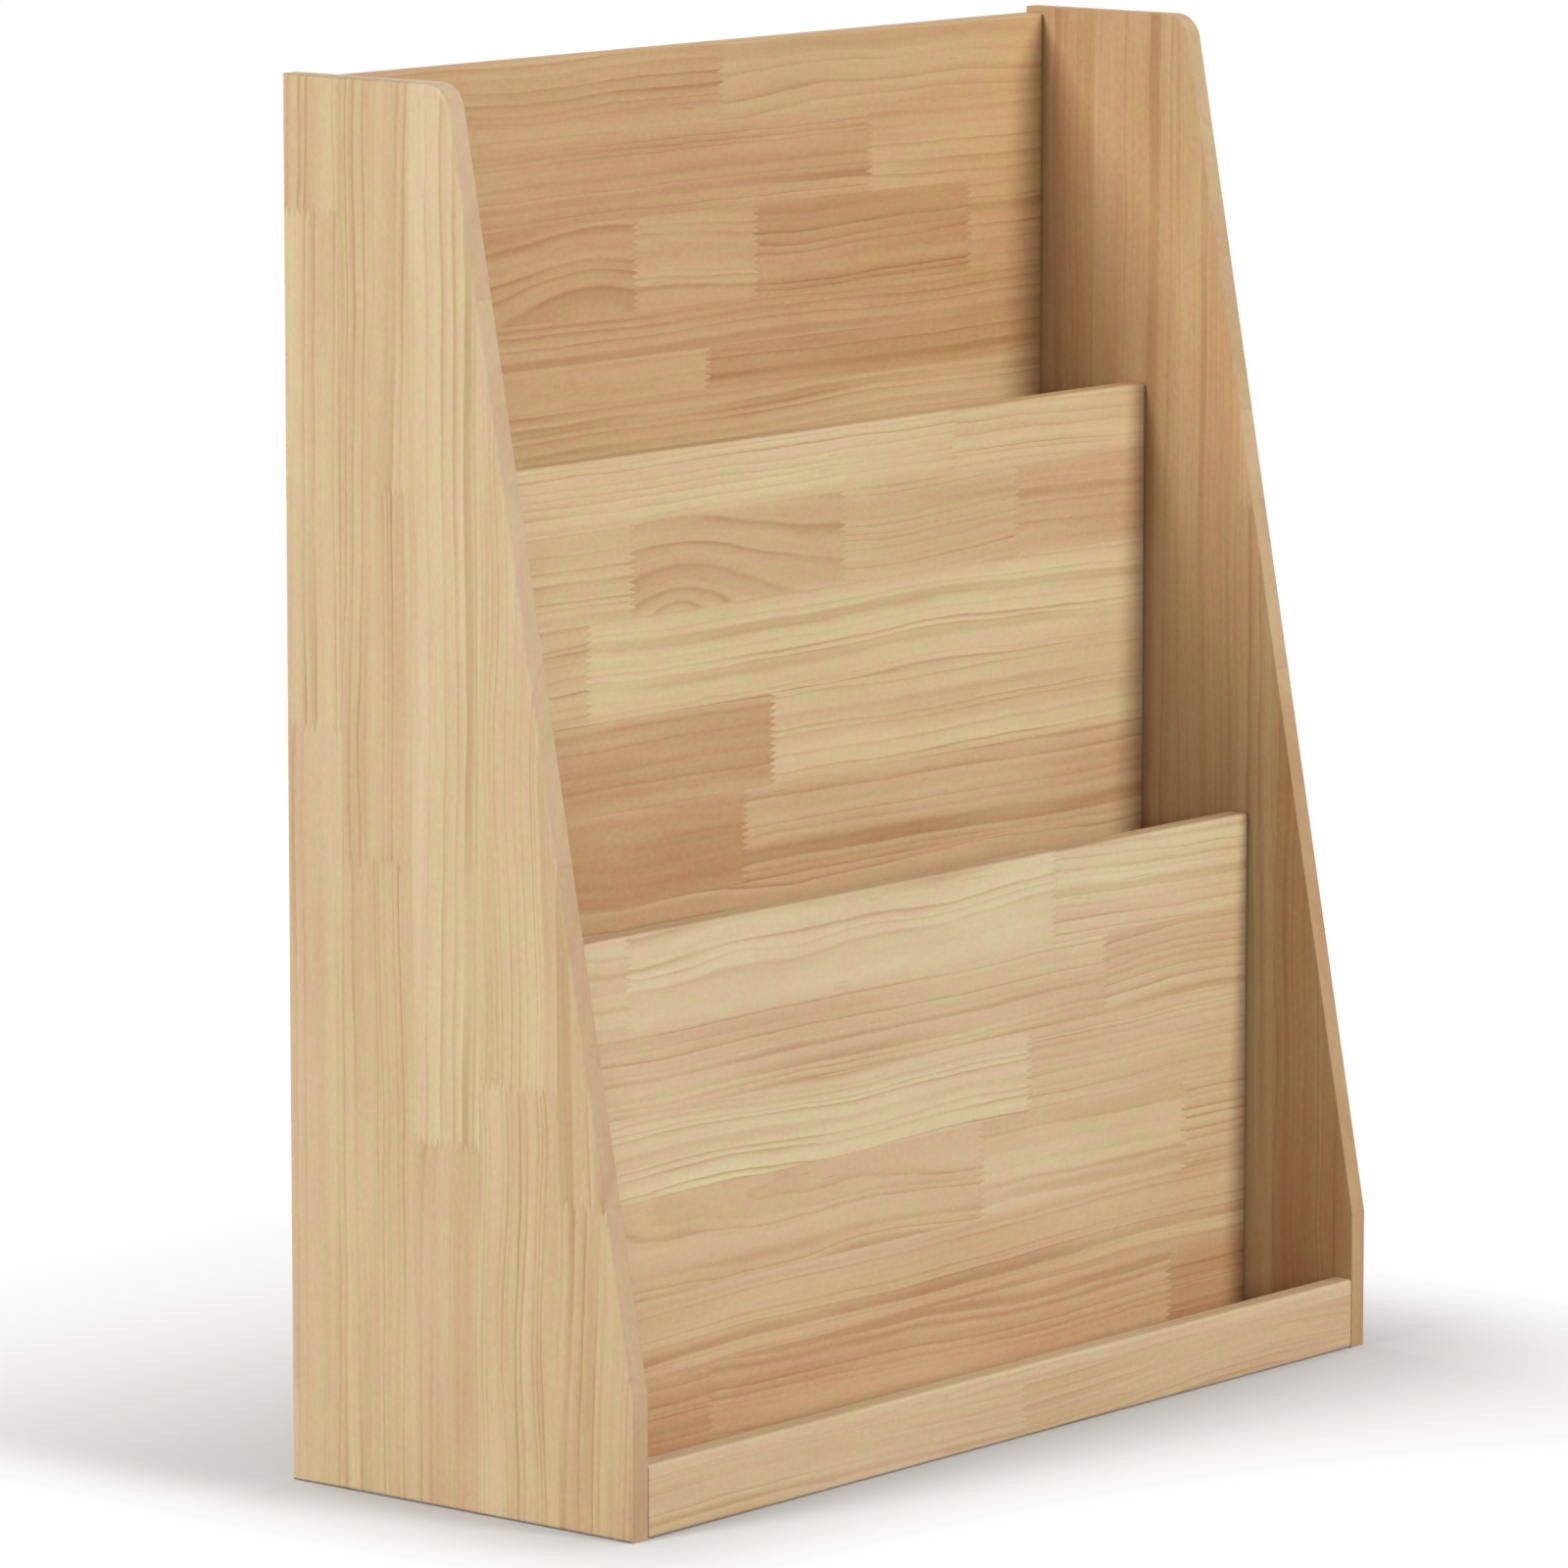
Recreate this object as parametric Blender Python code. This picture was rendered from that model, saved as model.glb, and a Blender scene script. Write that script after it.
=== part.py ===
"""A children's bookcase that shows its books face on: three open pockets, one behind and above
another, between two slant-fronted sides. Metres, +Z up, front towards -Y, right towards +X.
The origin lies on the floor under the middle of the bookcase."""

import math

import bmesh
import bpy
from mathutils import Matrix, Vector

# Boards
OVERALL_WIDTH = 0.600
SIDE_HEIGHT = 0.700
BOARD_THICKNESS = 0.012
POCKET_DEPTH = 0.058
SIDE_TOP_DEPTH = 0.106
TOE_HEIGHT = 0.072
TOP_CORNER_RADIUS = 0.014
BACK_PANEL_DROP = 0.003
MIDDLE_DIVIDER_TOP = 0.504
FRONT_DIVIDER_TOP = 0.280
LIP_HEIGHT = 0.037
UPPER_POCKET_DROP = 0.080
MIDDLE_POCKET_DROP = 0.080
FLOOR_GAP = 0.002
EDGE_ROUND = 0.002

# Clearance between pieces that touch, and the wood left behind a blind hole in a side
FIT_GAP = 0.0003
SIDE_SKIN = 0.003

# Dowels
DOWEL_RADIUS = 0.003
DOWEL_LENGTH = 0.030
DOWEL_CHAMFER = 0.0008

# Bolts
BOLT_THREAD_RADIUS = 0.0025
BOLT_TIP_TAPER = 0.0010
BOLT_COLLAR_RADIUS = 0.0029
BOLT_COLLAR_LENGTH = 0.0015
BOLT_SHANK_RADIUS = 0.0020
BOLT_NECK_RADIUS = 0.0012
BOLT_HEAD_RADIUS = 0.0023
BOLT_HEAD_LENGTH = 0.0020

# Cam locks
CAM_SETBACK = 0.024
CAM_RADIUS = 0.0060
CAM_WALL = 0.0022
CAM_HEAD_ROOM = 0.0008
CAM_SKIRT = 0.0009
CAM_DRIVE_LENGTH = 0.0064
CAM_DRIVE_WIDTH = 0.0012
CAM_DRIVE_DEPTH = 0.0012

# Facets
EDGE_SEGMENTS = 3
CORNER_SEGMENTS = 8
HOLE_SIDES = 12
BOLT_SIDES = 12
CAM_SIDES = 24
SMOOTH_ANGLE = math.radians(40)

# Planes that the boards share
INNER_X = OVERALL_WIDTH / 2 - BOARD_THICKNESS
END_X = INNER_X - FIT_GAP
BOARD_PITCH = BOARD_THICKNESS + POCKET_DEPTH
OVERALL_DEPTH = 3 * BOARD_PITCH + BOARD_THICKNESS
FRONT_Y = -OVERALL_DEPTH / 2
BACK_Y = OVERALL_DEPTH / 2
LIP_Y = FRONT_Y
FRONT_DIVIDER_Y = FRONT_Y + BOARD_PITCH
MIDDLE_DIVIDER_Y = FRONT_Y + 2 * BOARD_PITCH
BACK_PANEL_Y = FRONT_Y + 3 * BOARD_PITCH
BOTTOM_BOARD_TOP = FLOOR_GAP + BOARD_THICKNESS
UPPER_SHELF_TOP = MIDDLE_DIVIDER_TOP - UPPER_POCKET_DROP
MIDDLE_SHELF_TOP = FRONT_DIVIDER_TOP - MIDDLE_POCKET_DROP

# Places along a joint: each fitting goes as deep into the side as the skin allows
SIDE_HOLE_END_X = OVERALL_WIDTH / 2 - SIDE_SKIN
FITTING_END_X = SIDE_HOLE_END_X - FIT_GAP
DOWEL_INNER_X = FITTING_END_X - DOWEL_LENGTH
CAM_X = END_X - CAM_SETBACK

# Heights within a cam lock, measured from its visible face down to the bolt's axis and past it
CAM_AXIS_DEPTH = BOARD_THICKNESS / 2 - FIT_GAP
CAM_ROOF = CAM_AXIS_DEPTH - BOLT_HEAD_RADIUS - CAM_HEAD_ROOM
CAM_HEIGHT = CAM_AXIS_DEPTH + BOLT_HEAD_RADIUS + CAM_SKIRT
CAM_HOLLOW_RADIUS = CAM_RADIUS - CAM_WALL

# Upright boards: front plane, bottom, top
UPRIGHTS = {
    "back_panel": (BACK_PANEL_Y, 0.0, SIDE_HEIGHT - BACK_PANEL_DROP),
    "middle_divider": (MIDDLE_DIVIDER_Y, MIDDLE_SHELF_TOP - BOARD_THICKNESS, MIDDLE_DIVIDER_TOP),
    "front_divider": (FRONT_DIVIDER_Y, BOTTOM_BOARD_TOP + FIT_GAP, FRONT_DIVIDER_TOP),
    "front_lip": (LIP_Y, 0.0, LIP_HEIGHT),
}

# Level boards: front edge, back edge, top
LEVELS = {
    "upper_shelf": (MIDDLE_DIVIDER_Y + BOARD_THICKNESS, BACK_PANEL_Y, UPPER_SHELF_TOP),
    "middle_shelf": (FRONT_DIVIDER_Y + BOARD_THICKNESS, MIDDLE_DIVIDER_Y, MIDDLE_SHELF_TOP),
    "bottom_board": (LIP_Y + BOARD_THICKNESS, BACK_PANEL_Y, BOTTOM_BOARD_TOP),
}

# Fittings at each end of a board, in order from bottom to top or from front to back
JOINT_FITTINGS = {
    "back_panel": ("cam", "dowel", "cam"),
    "middle_divider": ("cam", "dowel", "cam"),
    "front_divider": ("cam", "dowel", "cam"),
    "front_lip": ("dowel", "dowel"),
    "upper_shelf": ("dowel", "dowel"),
    "middle_shelf": ("dowel", "dowel"),
    "bottom_board": ("dowel", "dowel", "dowel"),
}
UPRIGHT_PLACES = {2: ("lower", "upper"), 3: ("lower", "middle", "upper")}
LEVEL_PLACES = {2: ("front", "back"), 3: ("front", "middle", "back")}
HANDS = {"left": -1, "right": 1}

# Looks: linear colour, roughness, metallic
PALE_PINE = ((0.68, 0.48, 0.28), 0.55, 0.0)
SIDE_PINE = ((0.66, 0.46, 0.27), 0.55, 0.0)
WARM_PINE = ((0.60, 0.39, 0.21), 0.55, 0.0)
HIDDEN_PINE = ((0.62, 0.43, 0.25), 0.60, 0.0)
RAW_BEECH = ((0.58, 0.40, 0.24), 0.70, 0.0)
DULL_ZINC = ((0.52, 0.53, 0.54), 0.42, 1.0)
PLATED_STEEL = ((0.60, 0.58, 0.52), 0.35, 1.0)
BOARD_LOOKS = {
    "left_side": SIDE_PINE,
    "right_side": SIDE_PINE,
    "back_panel": WARM_PINE,
    "middle_divider": PALE_PINE,
    "front_divider": PALE_PINE,
    "front_lip": PALE_PINE,
    "upper_shelf": HIDDEN_PINE,
    "middle_shelf": HIDDEN_PINE,
    "bottom_board": HIDDEN_PINE,
}
FITTING_LOOKS = {"dowel": RAW_BEECH, "cam": DULL_ZINC, "bolt": PLATED_STEEL}


def clear_scene():
    for leftover in list(bpy.data.objects):
        bpy.data.objects.remove(leftover)


def finish(mesh, look):
    colour, roughness, metallic = look
    material = bpy.data.materials.new(f"{mesh.name}_finish")
    material.use_nodes = True
    shader = material.node_tree.nodes["Principled BSDF"]
    shader.inputs["Base Color"].default_value = (*colour, 1.0)
    shader.inputs["Roughness"].default_value = roughness
    shader.inputs["Metallic"].default_value = metallic
    mesh.materials.append(material)


def mesh_from(name, shape):
    """The finished mesh of a shape, facing out and smooth over its rounds."""
    bmesh.ops.recalc_face_normals(shape, faces=shape.faces[:])
    mesh = bpy.data.meshes.new(name)
    shape.to_mesh(mesh)
    shape.free()
    mesh.shade_smooth()
    mesh.set_sharp_from_angle(angle=SMOOTH_ANGLE)
    return mesh


def place(name, mesh, parent, location=(0, 0, 0), rotation=(0, 0, 0)):
    piece = bpy.data.objects.new(name, mesh)
    bpy.context.scene.collection.objects.link(piece)
    piece.parent = parent
    piece.location = location
    piece.rotation_euler = rotation
    return piece


def make_cutter(name, shape, parent):
    cutter = place(name, mesh_from(name, shape), parent)
    cutter.hide_render = True
    cutter.display_type = "WIRE"
    return cutter


def cut(piece, cutter):
    modifier = piece.modifiers.new(cutter.name, "BOOLEAN")
    modifier.operation = "DIFFERENCE"
    modifier.solver = "EXACT"
    modifier.object = cutter


def add_rod(shape, start, end, radius, sides):
    """A closed cylinder between two points."""
    start = Vector(start)
    axis = Vector(end) - start
    turn = axis.to_track_quat("Z", "Y").to_matrix().to_4x4()
    middle = Matrix.Translation(start + axis / 2)
    bmesh.ops.create_cone(
        shape,
        cap_ends=True,
        segments=sides,
        radius1=radius,
        radius2=radius,
        depth=axis.length,
        matrix=middle @ turn,
    )


def add_block(shape, low, high):
    """A box between two corners."""
    low = Vector(low)
    high = Vector(high)
    size = Matrix.Diagonal((*(high - low), 1.0))
    bmesh.ops.create_cube(shape, size=1.0, matrix=Matrix.Translation((low + high) / 2) @ size)


def sweep_along_x(shape, length):
    """Thickens the shape's one flat outline from -length/2 to +length/2."""
    outline = shape.faces[:]
    bmesh.ops.translate(shape, verts=shape.verts[:], vec=(-length / 2, 0, 0))
    grown = bmesh.ops.extrude_face_region(shape, geom=outline, use_keep_orig=True)
    moved = [item for item in grown["geom"] if isinstance(item, bmesh.types.BMVert)]
    bmesh.ops.translate(shape, verts=moved, vec=(length, 0, 0))


def edges_across_x(shape):
    """The edges that lie in planes across X: the outlines of both ends."""
    return [edge for edge in shape.edges if abs(edge.verts[0].co.x - edge.verts[1].co.x) < FIT_GAP]


def spread(low, high, count):
    """Centres of equal stretches between two ends."""
    step = (high - low) / count
    return [low + (index + 0.5) * step for index in range(count)]


def side_shape():
    """A side's outline, rounded at the top-front corner and along every edge."""
    top_front_y = BACK_Y - SIDE_TOP_DEPTH
    outline = (
        (BACK_Y, 0.0),
        (FRONT_Y, 0.0),
        (FRONT_Y, TOE_HEIGHT),
        (top_front_y, SIDE_HEIGHT),
        (BACK_Y, SIDE_HEIGHT),
    )
    shape = bmesh.new()
    corners = [shape.verts.new((0.0, y, z)) for y, z in outline]
    shape.faces.new(corners)
    slant = math.atan2(top_front_y - FRONT_Y, SIDE_HEIGHT - TOE_HEIGHT)
    corner_angle = math.pi / 2 + slant
    bmesh.ops.bevel(
        shape,
        geom=[corners[3]],
        offset=TOP_CORNER_RADIUS / math.tan(corner_angle / 2),
        segments=CORNER_SEGMENTS,
        profile=0.5,
        affect="VERTICES",
    )
    sweep_along_x(shape, BOARD_THICKNESS)
    bmesh.ops.bevel(
        shape,
        geom=edges_across_x(shape),
        offset=EDGE_ROUND,
        segments=EDGE_SEGMENTS,
        profile=0.5,
        affect="EDGES",
    )
    return shape


def cross_board_shape(depth, height, edge_round):
    """A board from side to side, with all its edges rounded or left square."""
    shape = bmesh.new()
    corner = Vector((END_X, depth / 2, height / 2))
    add_block(shape, -corner, corner)
    if edge_round > 0:
        bmesh.ops.bevel(
            shape,
            geom=shape.edges[:],
            offset=edge_round,
            segments=EDGE_SEGMENTS,
            profile=0.5,
            affect="EDGES",
        )
    return shape


def dowel_mesh():
    """A dowel along X with chamfered ends, centred on its own middle."""
    shape = bmesh.new()
    half = DOWEL_LENGTH / 2
    add_rod(shape, (-half, 0, 0), (half, 0, 0), DOWEL_RADIUS, HOLE_SIDES)
    bmesh.ops.bevel(
        shape,
        geom=edges_across_x(shape),
        offset=DOWEL_CHAMFER,
        segments=1,
        affect="EDGES",
    )
    return mesh_from("dowel", shape)


def bolt_mesh():
    """A cam bolt along X, its origin on the side's inner face: the screwed end is at +X, and the
    head, which the cam lock holds, at -X."""
    thread_end = FITTING_END_X - INNER_X
    collar_end = -FIT_GAP - BOLT_COLLAR_LENGTH
    cam_centre = CAM_X - INNER_X
    neck_start = cam_centre + CAM_RADIUS + FIT_GAP
    seat = math.sqrt(CAM_HOLLOW_RADIUS**2 - BOLT_HEAD_RADIUS**2)
    shoulder = cam_centre + seat - FIT_GAP
    head_end = shoulder - BOLT_HEAD_LENGTH
    profile = (
        (thread_end, 0.0),
        (thread_end, BOLT_THREAD_RADIUS - BOLT_TIP_TAPER),
        (thread_end - BOLT_TIP_TAPER, BOLT_THREAD_RADIUS),
        (-FIT_GAP, BOLT_THREAD_RADIUS),
        (-FIT_GAP, BOLT_COLLAR_RADIUS),
        (collar_end, BOLT_COLLAR_RADIUS),
        (collar_end, BOLT_SHANK_RADIUS),
        (neck_start, BOLT_SHANK_RADIUS),
        (neck_start, BOLT_NECK_RADIUS),
        (shoulder, BOLT_NECK_RADIUS),
        (shoulder, BOLT_HEAD_RADIUS),
        (head_end, BOLT_HEAD_RADIUS),
        (head_end, 0.0),
    )
    shape = bmesh.new()
    points = [shape.verts.new((x, 0.0, radius)) for x, radius in profile]
    lines = [shape.edges.new(pair) for pair in zip(points, points[1:])]
    bmesh.ops.spin(
        shape,
        geom=points + lines,
        axis=(1, 0, 0),
        cent=(0, 0, 0),
        angle=2 * math.pi,
        steps=BOLT_SIDES,
        use_merge=True,
    )
    bmesh.ops.remove_doubles(shape, verts=shape.verts[:], dist=FIT_GAP / 10)
    return mesh_from("bolt", shape)


def cam_mesh(parent):
    """A cam lock along Y, its origin on the bolt's axis and its visible face at +Y: a cup, open
    below, with a slot towards +X for the bolt's neck, a wider way in for its head, and a cross
    for the screwdriver."""
    face_y = CAM_AXIS_DEPTH
    foot_y = face_y - CAM_HEIGHT
    roof_y = face_y - CAM_ROOF
    below_y = foot_y - CAM_RADIUS
    slot_half = BOLT_NECK_RADIUS + FIT_GAP
    entry_half = BOLT_HEAD_RADIUS + FIT_GAP
    reach = 2 * CAM_RADIUS
    body = bmesh.new()
    add_rod(body, (0, foot_y, 0), (0, face_y, 0), CAM_RADIUS, CAM_SIDES)
    cup = place("cam_cup", mesh_from("cam_cup", body), parent)
    hollow = bmesh.new()
    add_rod(hollow, (0, below_y, 0), (0, roof_y, 0), CAM_HOLLOW_RADIUS, CAM_SIDES)
    slot = bmesh.new()
    add_block(slot, (0, below_y, -slot_half), (reach, slot_half, slot_half))
    entry = bmesh.new()
    add_block(entry, (-entry_half, below_y, -reach), (entry_half, entry_half, 0))
    bars = (
        (CAM_DRIVE_LENGTH / 2, CAM_DRIVE_WIDTH / 2),
        (CAM_DRIVE_WIDTH / 2, CAM_DRIVE_LENGTH / 2),
    )
    shapes = [hollow, slot, entry]
    for half_x, half_z in bars:
        bar = bmesh.new()
        low = (-half_x, face_y - CAM_DRIVE_DEPTH, -half_z)
        add_block(bar, low, (half_x, face_y + CAM_DRIVE_DEPTH, half_z))
        shapes.append(bar)
    cutters = []
    for number, shape in enumerate(shapes):
        cutter = make_cutter(f"cam_cut_{number}", shape, parent)
        cut(cup, cutter)
        cutters.append(cutter)
    bpy.context.view_layer.update()
    graph = bpy.context.evaluated_depsgraph_get()
    mesh = bpy.data.meshes.new_from_object(cup.evaluated_get(graph))
    mesh.name = "cam"
    mesh.shade_smooth()
    mesh.set_sharp_from_angle(angle=SMOOTH_ANGLE)
    for helper in [cup, *cutters]:
        bpy.data.objects.remove(helper)
    return mesh


def fitting_points(name):
    """Where the fittings of a board's ends lie, as (y, z) on their axes."""
    kinds = JOINT_FITTINGS[name]
    if name in UPRIGHTS:
        front_y, low, high = UPRIGHTS[name]
        return [(front_y + BOARD_THICKNESS / 2, z) for z in spread(low, high, len(kinds))]
    front, back, top = LEVELS[name]
    return [(y, top - BOARD_THICKNESS / 2) for y in spread(front, back, len(kinds))]


def make_boards(root):
    boards = {}
    for hand, sign in HANDS.items():
        name = f"{hand}_side"
        centre_x = sign * (OVERALL_WIDTH - BOARD_THICKNESS) / 2
        boards[name] = place(name, mesh_from(name, side_shape()), root, (centre_x, 0, 0))
    for name, (front_y, low, high) in UPRIGHTS.items():
        shape = cross_board_shape(BOARD_THICKNESS, high - low, EDGE_ROUND)
        centre = (0, front_y + BOARD_THICKNESS / 2, (low + high) / 2)
        boards[name] = place(name, mesh_from(name, shape), root, centre)
    for name, (front, back, top) in LEVELS.items():
        shape = cross_board_shape(back - front - 2 * FIT_GAP, BOARD_THICKNESS, 0.0)
        centre = (0, (front + back) / 2, top - BOARD_THICKNESS / 2)
        boards[name] = place(name, mesh_from(name, shape), root, centre)
    for name, piece in boards.items():
        finish(piece.data, BOARD_LOOKS[name])
    return boards


def make_fittings(root):
    """Dowels, cam locks and bolts at both ends of every cross board."""
    meshes = {"dowel": dowel_mesh(), "bolt": bolt_mesh(), "cam": cam_mesh(root)}
    for kind, mesh in meshes.items():
        finish(mesh, FITTING_LOOKS[kind])
    dowel_x = FITTING_END_X - DOWEL_LENGTH / 2
    for name, kinds in JOINT_FITTINGS.items():
        places = (UPRIGHT_PLACES if name in UPRIGHTS else LEVEL_PLACES)[len(kinds)]
        for kind, label, (y, z) in zip(kinds, places, fitting_points(name)):
            for hand, sign in HANDS.items():
                turn_z = (0, 0, 0 if sign > 0 else math.pi)
                turn_y = (0, 0 if sign > 0 else math.pi, 0)
                tail = f"{hand}_{label}"
                if kind == "dowel":
                    place(f"{name}_dowel_{tail}", meshes["dowel"], root, (sign * dowel_x, y, z))
                    continue
                place(f"{name}_bolt_{tail}", meshes["bolt"], root, (sign * INNER_X, y, z), turn_z)
                place(f"{name}_cam_{tail}", meshes["cam"], root, (sign * CAM_X, y, z), turn_y)


def drill_sides(boards, root):
    """Blind holes in the inner face of each side, one for each dowel and bolt."""
    radii = {"dowel": DOWEL_RADIUS + FIT_GAP, "cam": BOLT_THREAD_RADIUS + FIT_GAP}
    for hand, sign in HANDS.items():
        holes = bmesh.new()
        for name, kinds in JOINT_FITTINGS.items():
            for kind, (y, z) in zip(kinds, fitting_points(name)):
                start = (sign * (INNER_X - BOARD_THICKNESS), y, z)
                add_rod(holes, start, (sign * SIDE_HOLE_END_X, y, z), radii[kind], HOLE_SIDES)
        cut(boards[f"{hand}_side"], make_cutter(f"{hand}_side_holes", holes, root))


def drill_cross_boards(boards, root):
    """Dowel holes and bolt bores in the board ends, and cam pockets in the rear faces."""
    outside_x = END_X + BOARD_THICKNESS
    for name, kinds in JOINT_FITTINGS.items():
        ends = bmesh.new()
        pockets = bmesh.new()
        for kind, (y, z) in zip(kinds, fitting_points(name)):
            for sign in HANDS.values():
                start = (sign * outside_x, y, z)
                if kind == "dowel":
                    end = (sign * (DOWEL_INNER_X - FIT_GAP), y, z)
                    add_rod(ends, start, end, DOWEL_RADIUS + FIT_GAP, HOLE_SIDES)
                    continue
                bore_radius = BOLT_COLLAR_RADIUS + FIT_GAP
                add_rod(ends, start, (sign * CAM_X, y, z), bore_radius, HOLE_SIDES)
                pocket_y = y + CAM_AXIS_DEPTH - CAM_HEIGHT - FIT_GAP
                mouth = (sign * CAM_X, y + BOARD_THICKNESS, z)
                pocket_end = (sign * CAM_X, pocket_y, z)
                add_rod(pockets, mouth, pocket_end, CAM_RADIUS + FIT_GAP, CAM_SIDES)
        cut(boards[name], make_cutter(f"{name}_end_holes", ends, root))
        if "cam" in kinds:
            cut(boards[name], make_cutter(f"{name}_cam_pockets", pockets, root))
        else:
            pockets.free()


def main():
    clear_scene()
    root = place("bookcase", None, None)
    boards = make_boards(root)
    make_fittings(root)
    drill_sides(boards, root)
    drill_cross_boards(boards, root)


main()
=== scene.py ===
"""Looks of a children's bookcase: edge-glued, finger-jointed pine boards, metal joint fittings,
a pale studio floor, soft lamps and a camera. Metres, +Z up, front towards -Y, right towards +X."""

import functools
import math
import random

import bmesh
import bpy
from mathutils import Matrix, Vector


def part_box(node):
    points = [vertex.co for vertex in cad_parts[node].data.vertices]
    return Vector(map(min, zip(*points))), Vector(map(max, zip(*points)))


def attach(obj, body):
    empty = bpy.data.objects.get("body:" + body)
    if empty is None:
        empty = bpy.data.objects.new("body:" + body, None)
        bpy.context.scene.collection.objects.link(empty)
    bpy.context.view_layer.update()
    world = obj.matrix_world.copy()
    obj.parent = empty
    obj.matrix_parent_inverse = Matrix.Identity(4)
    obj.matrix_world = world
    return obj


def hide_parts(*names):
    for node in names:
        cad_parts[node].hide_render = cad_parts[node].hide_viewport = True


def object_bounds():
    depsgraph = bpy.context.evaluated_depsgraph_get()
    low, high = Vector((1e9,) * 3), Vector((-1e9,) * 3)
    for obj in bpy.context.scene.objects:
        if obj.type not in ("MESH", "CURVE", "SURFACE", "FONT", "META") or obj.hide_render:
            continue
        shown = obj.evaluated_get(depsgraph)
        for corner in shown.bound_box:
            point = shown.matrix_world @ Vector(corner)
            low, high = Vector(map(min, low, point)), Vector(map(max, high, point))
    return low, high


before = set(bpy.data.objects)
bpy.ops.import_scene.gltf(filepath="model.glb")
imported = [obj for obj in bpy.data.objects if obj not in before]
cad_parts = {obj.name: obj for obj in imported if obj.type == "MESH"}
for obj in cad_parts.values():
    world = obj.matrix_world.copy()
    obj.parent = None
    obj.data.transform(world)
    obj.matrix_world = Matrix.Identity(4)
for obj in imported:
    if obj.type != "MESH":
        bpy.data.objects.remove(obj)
cad_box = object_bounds()

bl_info = {
    "name": "Kids bookcase",
    "version": (1, 0, 0),
    "blender": (4, 5, 0),
    "location": "3D View > Sidebar > Bookcase",
    "description": "Pine boards, joint fittings and a studio for a children's bookcase",
    "category": "Object",
}

# Tone of a block of wood, from the palest sapwood to the darkest heartwood
TONES = {"ivory": 0.0, "cream": 0.15, "straw": 0.3, "wheat": 0.45, "tan": 0.6, "honey": 0.8, "brown": 1.0}

# How a block was sawn: straight lines, lines at a slant, long arches, or arches round a knot
FIGURES = {"straight": 0.0, "slanted": 0.3, "arched": 0.7, "knotty": 1.0}

# Tones of the blocks that are drawn by chance, where the boards can't be seen in the picture
COMMON_TONES = ("cream", "straw", "straw", "wheat", "wheat", "tan")

# The staves that each board is glued from, upper or rear one first: a stave's width, then its
# blocks from the left end or from the floor up, as tone and figure, if it isn't straight, with the
# places of the joints between them. Some tones also paint in light and shade: darker blocks where a
# board lies in shade, at the front of the right side and at the right end of the front divider,
# and a paler stave low on the back panel to lift its shade. A board that is wider than its list is
# filled up with staves drawn by chance.
LAYUPS = {
    "left_side": (
        (0.037, "cream", 0.380, "ivory", 0.633, "straw slanted"),
        (0.022, "cream", 0.317, "straw"),
        (0.023, "cream", 0.317, "straw", 0.500, "cream slanted"),
        (0.043, "straw slanted", 0.182, "ivory"),
        (0.050, "cream arched", 0.215, "cream slanted"),
        (0.047, "straw slanted", 0.162, "straw"),
    ),
    "right_side": (
        (0.046, "wheat", 0.290, "brown slanted"),
        (0.055, "honey slanted"),
        (0.043, "tan"),
        (0.025, "wheat", 0.272, "tan", 0.444, "wheat"),
        (0.053, "brown slanted"),
    ),
    "back_panel": (
        (0.040, "tan slanted", 0.307, "straw arched"),
        (0.045, "tan", 0.428, "wheat"),
        (0.048, "tan knotty", 0.239, "wheat slanted", 0.336, "honey slanted", 0.512, "tan"),
        (0.023, "tan"),
        (0.024, "wheat", 0.297, "honey"),
        (0.046, "cream"),
    ),
    "middle_divider": (
        (0.034, "ivory", 0.412, "ivory slanted"),
        (0.048, "straw", 0.155, "tan knotty", 0.320, "wheat slanted", 0.465, "tan"),
        (0.050, "straw slanted", 0.120, "ivory slanted"),
        (0.047, "honey", 0.264, "cream"),
        (0.048, "brown arched", 0.242, "wheat"),
        (0.045, "tan slanted"),
    ),
    "front_divider": (
        (0.049, "cream slanted", 0.068, "ivory arched", 0.408, "ivory slanted"),
        (0.042, "straw", 0.452, "straw slanted"),
        (0.043, "ivory slanted", 0.388, "straw"),
        (0.050, "straw arched", 0.348, "cream slanted", 0.520, "straw"),
        (0.040, "wheat"),
        (0.040, "honey slanted", 0.130, "tan slanted", 0.508, "brown"),
    ),
    "front_lip": (
        (0.008, "cream"),
        (0.040, "straw", 0.295, "wheat slanted"),
    ),
}

# Room for joints in a stave, the place of those it lacks, past every board's end, and the shares of
# the usual sizes that chance draws from: a stave's width, its first block and its other blocks
MOST_JOINTS = 3
NO_JOINT = 9.0
STAVE_WIDTHS = (0.85, 1.1)
FIRST_BLOCKS = (0.2, 1.2)
LATER_BLOCKS = (0.6, 1.6)


def shade(red, green, blue):
    """A colour given as it shows on screen, 0 to 255, as the linear values that a shader takes."""
    levels = [value / 255 for value in (red, green, blue)]
    return tuple(level / 12.92 if level <= 0.04045 else ((level + 0.055) / 1.055) ** 2.4 for level in levels)


def setting(kind, **limits):
    """A kind of value that a user may change, to be given a name, a description and a default."""
    def make(name, description, default):
        return kind(name=name, description=description, default=default, **limits)
    return make


metres = setting(bpy.props.FloatProperty, min=0.0, precision=4, unit="LENGTH")
millimetres = setting(bpy.props.FloatProperty, min=1.0)
angle = setting(bpy.props.FloatProperty, subtype="ANGLE")
fraction = setting(bpy.props.FloatProperty, min=0.0, max=1.0, subtype="FACTOR")
swatch = setting(bpy.props.FloatVectorProperty, size=3, min=0.0, max=1.0, subtype="COLOR")
point = setting(bpy.props.FloatVectorProperty, size=3, subtype="XYZ", unit="LENGTH")

# At 1, a white surface that faces the lamp shows as white
lamplight = setting(bpy.props.FloatProperty, min=0.0, soft_max=2.0)


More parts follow.
